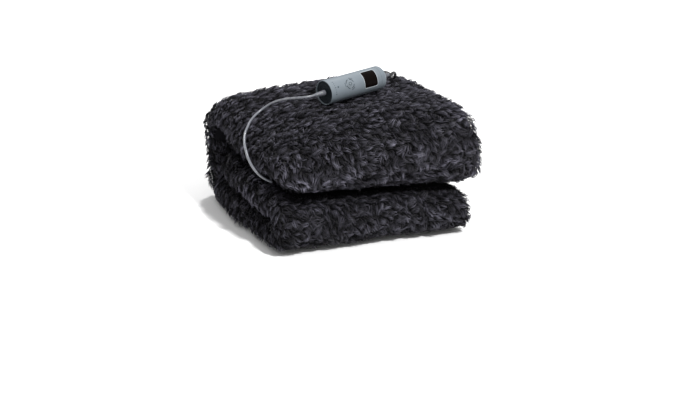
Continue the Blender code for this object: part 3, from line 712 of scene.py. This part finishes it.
def make_controller(materials, place):
    half = SHELL_LENGTH / 2
    edge = 0.0007
    bore = SHELL_RADIUS - RIM_WALL
    profile = [(-half + RECESS_DEPTH, 0.0), (-half + RECESS_DEPTH, bore), (-half + edge, bore)]
    profile += arc(-half + edge, bore + edge, edge, 270.0, 180.0, 4)[1:]
    profile += arc(-half + edge, SHELL_RADIUS - edge, edge, 180.0, 90.0, 4)
    seam, groove = half - SEAM_FROM_END, SHELL_RADIUS - SEAM_DEPTH
    profile += [(seam - 0.0004, SHELL_RADIUS), (seam - 0.0001, groove)]
    profile += [(seam + 0.0001, groove), (seam + 0.0004, SHELL_RADIUS)]
    profile += arc(half - END_ROUNDING, SHELL_RADIUS - END_ROUNDING, END_ROUNDING, 90.0, 0.0, 10)
    profile += [(half, 0.0)]
    points, faces = turned_mesh(profile, 128)
    points = placed(points, place)
    shell = new_piece("controller_case", points, faces, materials["shell"], "controller_plastic")
    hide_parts("controller_shell")

    key_span = 2 * KEY_RADIUS / SHELL_RADIUS
    lamp_span = 2 * LAMP_RADIUS / SHELL_RADIUS
    plates = (
        # name, node, middle, length, span, corner, depth, stands out, material, slot
        ("controller_window", "display", WINDOW["middle"], WINDOW["length"], WINDOW["span"],
         WINDOW["corner"], WINDOW_DEPTH, -0.0003, "window", "display_lens"),
        ("controller_key", "power_key", KEY_MIDDLE, 2 * KEY_RADIUS, key_span, KEY_RADIUS,
         KEY_DEPTH, 0.0004, "key", "key_membrane"),
        ("controller_lamp", "lamp", LAMP_MIDDLE, 2 * LAMP_RADIUS, lamp_span, LAMP_RADIUS,
         KEY_DEPTH, 0.0001, "lamp", "lamp_lens"),
    )
    for name, node, middle, length, span, corner, depth, proud, material, slot in plates:
        gap = FIT_GAP * 0.6
        points, faces = wrapped_plate(
            middle, length + 2 * gap, span + 2 * gap / SHELL_RADIUS, corner + gap,
            SHELL_RADIUS - depth, SHELL_RADIUS + 0.003,
        )
        cutter = new_piece(name + "_cut", placed(points, place), faces, materials[material], slot)
        modifier = shell.modifiers.new(name, "BOOLEAN")
        modifier.operation = "DIFFERENCE"
        modifier.object = cutter
        apply_modifiers(shell)
        bpy.data.objects.remove(cutter)
        points, faces = wrapped_plate(
            middle, length, span, corner, SHELL_RADIUS - depth + FIT_GAP, SHELL_RADIUS + proud, soft=0.0002,
        )
        plate = new_piece(name, placed(points, place), faces, materials[material], slot)
        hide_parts(node)
    shell.data.shade_smooth()
    shell.data.set_sharp_from_angle(angle=math.radians(35.0))

    cap_back = -half + RECESS_DEPTH - FIT_GAP
    cap_face = cap_back - CAP_THICKNESS
    inside = bore - FIT_GAP
    profile = [(cap_back, 0.0), (cap_back, inside)]
    profile += [(cap_face + 0.0005, inside), (cap_face, inside - 0.0005)]
    profile += [(cap_face, 0.0125), (cap_face + 0.0005, 0.0121), (cap_face + 0.0005, 0.0080)]
    profile += [(cap_face - 0.0001, 0.0076), (cap_face - 0.0001, 0.0)]
    points, faces = turned_mesh(profile, 96)
    cap = new_piece("controller_cap", placed(points, place), faces, materials["cap"], "dark_plastic")
    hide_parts("end_cap")

    # The window's rim, light-coloured as a painted highlight, and plain ring and tick marks round the key.
    larger = 0.0012
    outline = wrapped_outline(
        WINDOW["length"] + larger, WINDOW["span"] + larger / SHELL_RADIUS,
        WINDOW["corner"] + larger / 2, 40,
    )
    highlight_rim_path = [(WINDOW["middle"] + h, (a - FACING) * SHELL_RADIUS) for h, a in outline]
    highlight_rim_path += [(WINDOW["middle"] - h, (a - FACING) * SHELL_RADIUS) for h, a in reversed(outline)]
    points, faces = wrapped_stroke(highlight_rim_path, *HIGHLIGHT_RIM_LINE, closed=True)
    new_piece("window_rim_highlight", placed(points, place), faces, materials["rim"], "controller_plastic")

    marks = []
    for radius, first, step, sweep, steps, width in (
        (0.0078, 15, 90, 62.0, 16, 0.0012),
        (0.0103, 40, 120, 40.0, 12, 0.0009),
    ):
        for start in range(first, first + 360, step):
            path = circle_path(KEY_MIDDLE, radius, start, start + sweep, steps)
            marks.append(wrapped_stroke(path, width, MARK_HEIGHT))
    x = LAMP_MIDDLE - 0.0060
    for k in range(TICKS):
        reach = (k - TICKS // 2) * TICK_PITCH
        half_tick = (TICK_LONG if k % 3 == 0 else TICK_SHORT) / 2
        marks.append(wrapped_stroke([(x - half_tick, reach), (x + half_tick, reach)], 0.0011, MARK_HEIGHT))
    points, faces = join_shapes(marks)
    new_piece("controller_marks", placed(points, place), faces, materials["print"], "dark_plastic")

    icon = [
        wrapped_stroke(circle_path(KEY_MIDDLE, 0.0027, 125.0, 415.0, 30), 0.0010, ICON_HEIGHT),
        wrapped_stroke([(KEY_MIDDLE, 0.0010), (KEY_MIDDLE, 0.0036)], 0.0009, ICON_HEIGHT),
    ]
    points, faces = join_shapes(icon)
    new_piece("power_mark", placed(points, place), faces, materials["print"], "dark_plastic")


# ---------------------------------------------------------------- throw


def make_backing(materials):
    """The cloth itself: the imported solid's folds, drawn in by the length of the pile and smoothed."""
    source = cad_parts["throw"].data
    shape = bmesh.new()
    shape.from_mesh(source)
    bmesh.ops.remove_doubles(shape, verts=shape.verts, dist=1e-5)
    bmesh.ops.join_triangles(
        shape, faces=shape.faces,
        angle_face_threshold=math.radians(50.0), angle_shape_threshold=math.radians(60.0),
    )
    shape.normal_update()
    moves = []
    for corner in shape.verts:
        share = float(smooth_step(corner.co.z, LOWER_HALF, LOWER_HALF + 0.02))
        inset = BACKING_INSET[0] + (BACKING_INSET[1] - BACKING_INSET[0]) * share
        under = corner.normal.z < -0.7 and corner.co.z < 0.001
        moves.append((corner, corner.normal * (0.0008 if under else inset)))
    for corner, move in moves:
        corner.co -= move
    mesh = bpy.data.meshes.new("throw_cloth")
    shape.to_mesh(mesh)
    shape.free()
    item = bpy.data.objects.new("throw_cloth", mesh)
    bpy.context.collection.objects.link(item)
    modifier = item.modifiers.new("smoother", "SUBSURF")
    modifier.levels = modifier.render_levels = 1
    apply_modifiers(item)
    item.data.shade_smooth()
    item.data.materials.clear()
    item.data.materials.append(materials["backing"])
    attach(item, "root")
    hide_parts("throw")
    return item


def surface_of(item):
    """Triangles of a piece, as corners and corner normals, and their tree for casting rays."""
    mesh = item.data
    mesh.calc_loop_triangles()
    points = np.empty(len(mesh.vertices) * 3)
    mesh.vertices.foreach_get("co", points)
    normals = np.empty(len(mesh.vertices) * 3)
    mesh.vertices.foreach_get("normal", normals)
    corners = np.empty(len(mesh.loop_triangles) * 3, dtype=np.int32)
    mesh.loop_triangles.foreach_get("vertices", corners)
    points, normals, corners = points.reshape(-1, 3), normals.reshape(-1, 3), corners.reshape(-1, 3)
    tree = BVHTree.FromPolygons([Vector(p) for p in points], corners.tolist())
    return points, normals, corners, tree


def unit(vectors):
    return vectors / np.maximum(np.linalg.norm(vectors, axis=1), 1e-9)[:, None]


def scattered(surface, count, cell, rng):
    """Points and normals spread over the surface, at most one in each cube of that size."""
    points, normals, corners, _ = surface
    a, b, c = points[corners[:, 0]], points[corners[:, 1]], points[corners[:, 2]]
    area = np.linalg.norm(np.cross(b - a, c - a), axis=1) / 2
    face = rng.choice(len(corners), size=count, p=area / area.sum())
    u, v = rng.random(count), rng.random(count)
    over = u + v > 1
    u[over], v[over] = 1 - u[over], 1 - v[over]
    w = 1 - u - v
    spots = a[face] * w[:, None] + b[face] * u[:, None] + c[face] * v[:, None]
    na, nb, nc = (normals[corners[face, k]] for k in range(3))
    facing = unit(na * w[:, None] + nb * u[:, None] + nc * v[:, None])
    # Opposite sides of a thin ply are kept apart by the way they face.
    main_axis = np.argmax(np.abs(facing), axis=1)
    side = main_axis * 2 + (np.take_along_axis(facing, main_axis[:, None], 1)[:, 0] > 0)
    keys = np.column_stack([np.floor(spots / cell).astype(np.int64), side])
    _, first = np.unique(keys, axis=0, return_index=True)
    first.sort()
    return spots[first], facing[first]


def tangents(normals):
    """Two directions across each normal."""
    helper = np.where(np.abs(normals[:, 2:3]) < 0.9, (0.0, 0.0, 1.0), (1.0, 0.0, 0.0))
    first = unit(np.cross(helper, normals))
    return first, np.cross(normals, first)


def openness(spots, normals, tree, reach=0.030):
    """The share of five ways out of each spot that meet neither the cloth nor the floor."""
    first, second = tangents(normals)
    ways = [normals] + [unit(normals * 0.62 + turn * 0.78) for turn in (first, -first, second, -second)]
    free = np.zeros(len(spots))
    for way in ways:
        for k in range(len(spots)):
            start = spots[k] + normals[k] * 0.0012
            end_height = start[2] + way[k][2] * reach
            if end_height > -0.004 and tree.ray_cast(Vector(start), Vector(way[k]), reach)[0] is None:
                free[k] += 1
    return free / len(ways)


def waves(spots, scale, seed):
    """A smooth random value from -1 to 1 at each spot, that changes over about scale metres."""
    rng = np.random.default_rng(seed)
    total = np.zeros(len(spots))
    for _ in range(7):
        way = rng.normal(size=3)
        way /= np.linalg.norm(way)
        pace = rng.uniform(0.6, 1.5)
        total += np.sin(spots @ way * (2 * math.pi / scale) * pace + rng.uniform(0, 2 * math.pi))
    return total / 3.6


def nap_of(spots, normals, rng):
    """Which way the pile lies at each spot, along the cloth."""
    nap = np.array(NAP)
    lie = unit(nap - normals * (normals @ nap)[:, None])
    turn = 0.55 * waves(spots, 0.080, 3) + 0.35 * waves(spots, 0.030, 5) + rng.normal(0.0, 0.16, len(spots))
    across = np.cross(normals, lie)
    return unit(lie * np.cos(turn)[:, None] + across * np.sin(turn)[:, None])


def clump_of(spots, normals, heads, head_normals):
    """The nearest clump that faces the same way, for each spot, and how far off its root is."""
    tree = KDTree(len(heads))
    for k, head in enumerate(heads):
        tree.insert(head, k)
    tree.balance()
    chosen = np.zeros(len(spots), dtype=np.int64)
    gaps = np.zeros(len(spots))
    for k, spot in enumerate(spots):
        found = tree.find_n(spot, 5)
        _, chosen[k], gaps[k] = found[0]
        for _, index, gap in found:
            if float(head_normals[index] @ normals[k]) > 0.5:
                chosen[k], gaps[k] = index, gap
                break
    return chosen, gaps


def lumps_of(spots, normals):
    """How far the pile's base stands out at each spot, from 0 to 1, and its normals tilted to match."""
    def height(places):
        wide, fine = waves(places, LUMP_SIZE, 41), waves(places, LUMP_SIZE * 0.45, 43)
        return np.clip(0.5 + 0.42 * wide + 0.22 * fine, 0.0, 1.0)

    reach = 0.003
    base = height(spots)
    tilted = normals.copy()
    for turn in tangents(normals):
        slope = (height(spots + turn * reach) - base) / reach
        tilted -= turn * (slope * LUMP_HEIGHT)[:, None]
    return base, unit(tilted)


def clear_of(points, place, lines):
    """Moves points out of the controller and the leads, to lie against them."""
    frame_in = np.array(place.inverted())
    local = points @ frame_in[:3, :3].T + frame_in[:3, 3]
    radius = np.hypot(local[:, 1], local[:, 2])
    inside = (np.abs(local[:, 0]) < SHELL_LENGTH / 2 + 0.0012) & (radius < SHELL_RADIUS + 0.0009)
    scale = (SHELL_RADIUS + 0.0009) / np.maximum(radius[inside], 1e-6)
    local[inside, 1] *= scale
    local[inside, 2] *= scale
    moved = local @ np.array(place)[:3, :3].T + np.array(place)[:3, 3]
    for line, thickness in lines:
        tree = KDTree(len(line))
        for k, spot in enumerate(line):
            tree.insert(spot, k)
        tree.balance()
        low, high = line.min(axis=0) - 0.01, line.max(axis=0) + 0.01
        near = np.nonzero(((moved > low) & (moved < high)).all(axis=1))[0]
        reach = thickness / 2 + 0.0009
        for k in near:
            spot, _, gap = tree.find(moved[k])
            if gap < reach:
                away = moved[k] - np.array(spot)
                moved[k] = np.array(spot) + away / max(gap, 1e-6) * reach
    moved[:, 2] = np.maximum(moved[:, 2], 0.0006)
    return moved


def paleness_and_painted_shade(spots, normals, rng):
    """How pale each tuft is, from 0 to 1, with painted shade in the hollow at the left. Patches on the upper
    roll's lower edge and left ridge are pale.
    """
    low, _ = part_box("throw")
    shade = 0.30 + 0.09 * waves(spots, 0.055, 8) + 0.07 * waves(spots, 0.016, 9)
    frontal = np.clip(-normals[:, 1], 0.0, 1.0)
    edge = np.exp(-(((spots[:, 2] - 0.114) / 0.020) ** 2)) * smooth_step(frontal, 0.1, 0.5)
    ridge = np.exp(-(((spots[:, 0] - (low[0] + 0.035)) / 0.014) ** 2)) * frontal
    ridge *= smooth_step(spots[:, 2], 0.10, 0.13)
    patches = smooth_step(waves(spots, 0.026, 21), 0.15, 0.65)
    shade += 0.62 * np.clip(edge + 0.8 * ridge, 0.0, 1.0) * patches
    shade += 0.26 * smooth_step(waves(spots, 0.040, 31), 0.55, 1.00)
    # The lower flap's left end is paler, and painted shade darkens the hollow round it.
    left = smooth_step(-spots[:, 0], 0.115, 0.150)
    flap = np.exp(-(((spots[:, 2] - 0.070) / 0.022) ** 2) - ((spots[:, 1] + 0.045) / 0.055) ** 2)
    hollow = np.exp(-(((spots[:, 2] - 0.100) / 0.022) ** 2)) * smooth_step(spots[:, 1], -0.13, -0.05)
    shade += left * (0.45 * flap - 0.24 * hollow * (1.0 - flap))
    return shade + rng.normal(0.0, 0.05, len(spots))


def tuft_mesh(name, root, bend, tip, normals, width, shade, material, closed_rows):
    """One mesh of closed, tapered, three-sided tufts, with a bend half way where closed_rows is 2."""
    ahead = unit(tip - root)
    side = unit(np.cross(normals, ahead))
    up = np.cross(ahead, side)
    rows = [(root, 1.0, 0.0)] if closed_rows == 1 else [(root, 0.85, 0.0), (bend, 1.0, 0.55)]
    corners, along = [], []
    for middle, scale, share in rows:
        half = (width * scale / 2)[:, None]
        corners += [middle - side * half, middle + up * half * 0.75, middle + side * half]
        along += [share] * 3
    corners.append(tip)
    along.append(1.0)
    stack = np.stack(corners, axis=1)
    stack[..., 2] = np.maximum(stack[..., 2], 0.0002)
    per = stack.shape[1]
    if closed_rows == 1:
        pattern = [(0, 1, 3), (1, 2, 3), (2, 0, 3), (0, 2, 1)]
    else:
        pattern = [(0, 1, 4), (0, 4, 3), (1, 2, 5), (1, 5, 4), (2, 0, 3), (2, 3, 5)]
        pattern += [(3, 4, 6), (4, 5, 6), (5, 3, 6), (0, 2, 1)]
    pattern = np.array(pattern)
    corner = stack[:, pattern]
    crossed = np.cross(corner[:, :, 1], corner[:, :, 2])
    volume = np.einsum("ntk,ntk->nt", corner[:, :, 0], crossed).sum(axis=1)
    faces = pattern[None] + (np.arange(len(root)) * per)[:, None, None]
    turned_in = volume < 0
    faces[turned_in] = faces[turned_in][:, :, ::-1]
    faces = faces.reshape(-1, 3)
    mesh = bpy.data.meshes.new(name)
    mesh.vertices.add(len(root) * per)
    mesh.vertices.foreach_set("co", stack.reshape(-1).astype(np.float32))
    mesh.loops.add(len(faces) * 3)
    mesh.loops.foreach_set("vertex_index", faces.reshape(-1).astype(np.int32))
    mesh.polygons.add(len(faces))
    mesh.polygons.foreach_set("loop_start", np.arange(0, len(faces) * 3, 3, dtype=np.int32))
    mesh.update(calc_edges=True)
    mesh.shade_smooth()
    for key, values in (("along", np.tile(along, len(root))), ("shade", np.repeat(shade, per))):
        attribute = mesh.attributes.new(key, "FLOAT", "POINT")
        attribute.data.foreach_set("value", values.astype(np.float32))
    mesh.materials.append(material)
    item = bpy.data.objects.new(name, mesh)
    bpy.context.collection.objects.link(item)
    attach(item, "root")
    return item


def in_pieces(name, arrays, per_tuft, material, closed_rows):
    """Tufts in as many pieces as their triangles need, from the left to the right."""
    root = arrays[0]
    order = np.argsort(root[:, 0], kind="stable")
    parts = math.ceil(len(root) * per_tuft / MOST_TRIANGLES)
    made = []
    for k, chosen in enumerate(np.array_split(order, parts)):
        some = [values[chosen] for values in arrays]
        made.append(tuft_mesh(f"{name}_{k + 1}", *some, material, closed_rows))
    return made


def make_pile(backing, materials, place, lines):
    rng = np.random.default_rng(SEED)
    surface = surface_of(backing)
    tree = surface[3]
    heads, head_normals = scattered(surface, 60000, CLUMP_CELL, rng)
    head_rise, head_tilted = lumps_of(heads, head_normals)
    head_nap = nap_of(heads, head_tilted, rng)
    head_turn = rng.normal(0.0, CLUMP_TURN, len(heads))
    head_nap = unit(head_nap + np.cross(head_tilted, head_nap) * head_turn[:, None])
    head_length = rng.uniform(*CLUMP_LENGTH, len(heads))
    head_lift = rng.uniform(*CLUMP_LIFT, len(heads))
    head_pale = rng.normal(0.0, CLUMP_PALE, len(heads))
    head_curl = rng.normal(0.0, CLUMP_CURL, len(heads))
    head_tip = heads + head_normals * (LUMP_HEIGHT * head_rise)[:, None]
    head_tip += (head_tilted * head_lift[:, None] + head_nap * 0.85) * (CLUMP_REACH * head_length)[:, None]
    pieces = []
    layers = (
        # name, cell, length, width, pull to the clump's tip, closed rows, triangles
        ("pile_under", UNDER_CELL, UNDER_TUFT, UNDER_WIDTH, 0.15, 1, 4),
        ("pile_long", TUFT_CELL, LONG_TUFT, LONG_WIDTH, 0.46, 2, 10),
    )
    for name, cell, length_range, width_range, pull, rows, per_tuft in layers:
        spots, normals = scattered(surface, 420000, cell, rng)
        free = openness(spots, normals, tree)
        keep = (free >= 0.2) & ~((normals[:, 2] < -0.5) & (spots[:, 2] < 0.012))
        spots, normals, free = spots[keep], normals[keep], free[keep]
        rise, tilted = lumps_of(spots, normals)
        clump, off = clump_of(spots, normals, heads, head_normals)
        nap = unit(0.45 * nap_of(spots, tilted, rng) + 0.55 * head_nap[clump])
        under = 1.0 - 0.35 * smooth_step(-normals[:, 2], 0.25, 0.80)
        length = rng.uniform(*length_range, len(spots)) * head_length[clump]
        length *= (0.30 + 0.70 * free) * under
        width = rng.uniform(*width_range, len(spots))
        lift = np.clip(head_lift[clump] + rng.normal(0.0, 0.10, len(spots)), 0.08, 0.9)
        root = spots + normals * (LUMP_HEIGHT * rise * free - 0.0006)[:, None]
        bend = root + (tilted * (0.30 + 0.60 * lift)[:, None] + nap * 0.55) * (length * 0.52)[:, None]
        tip = bend + (tilted * (lift * 0.35)[:, None] + nap * 0.92) * (length * 0.48)[:, None]
        tip += pull * (head_tip[clump] - tip) * (0.3 + 0.7 * free)[:, None]
        bend += 0.35 * pull * (head_tip[clump] - bend) * free[:, None]
        curl = head_curl[clump] + rng.normal(0.0, 0.0006, len(spots))
        sideways = np.cross(tilted, nap) * curl[:, None]
        bend += sideways * 0.8
        tip -= sideways * 1.1
        bend, tip = clear_of(bend, place, lines), clear_of(tip, place, lines)
        # Painted shade: tufts at a clump's edge, in the hollows between lumps, in closed-in places such as
        # the gap between the rolls, and the short under layer beneath the long tufts are painted darker.
        clump_edge_shade = 1.0 - 0.62 * smooth_step(off, 0.0010, 0.0060)
        shade = (paleness_and_painted_shade(spots, normals, rng) + head_pale[clump]) * clump_edge_shade * free ** 2.1
        shade *= 0.70 + 0.45 * rise
        if rows == 1:
            shade *= 0.35
        shade = np.clip(shade, 0.0, 1.0)
        arrays = [root, bend, tip, normals, width, shade]
        pieces += in_pieces(name, arrays, per_tuft, materials["plush"], rows)
    return pieces


# ---------------------------------------------------------------- all of it


make_camera()
MATERIALS = make_materials()
PLACE = controller_matrix()
CONTROL_LINE, MAINS_LINE = make_leads(MATERIALS, PLACE)
make_stage()
make_controller(MATERIALS, PLACE)
CLOTH = make_backing(MATERIALS)
# The pile may cover the control lead where it goes into the hollow.
CLEARED = [(CONTROL_LINE[:-COVERED_POINTS], CONTROL_LEAD), (MAINS_LINE, MAINS_LEAD)]
PILE = make_pile(CLOTH, MATERIALS, PLACE, CLEARED)
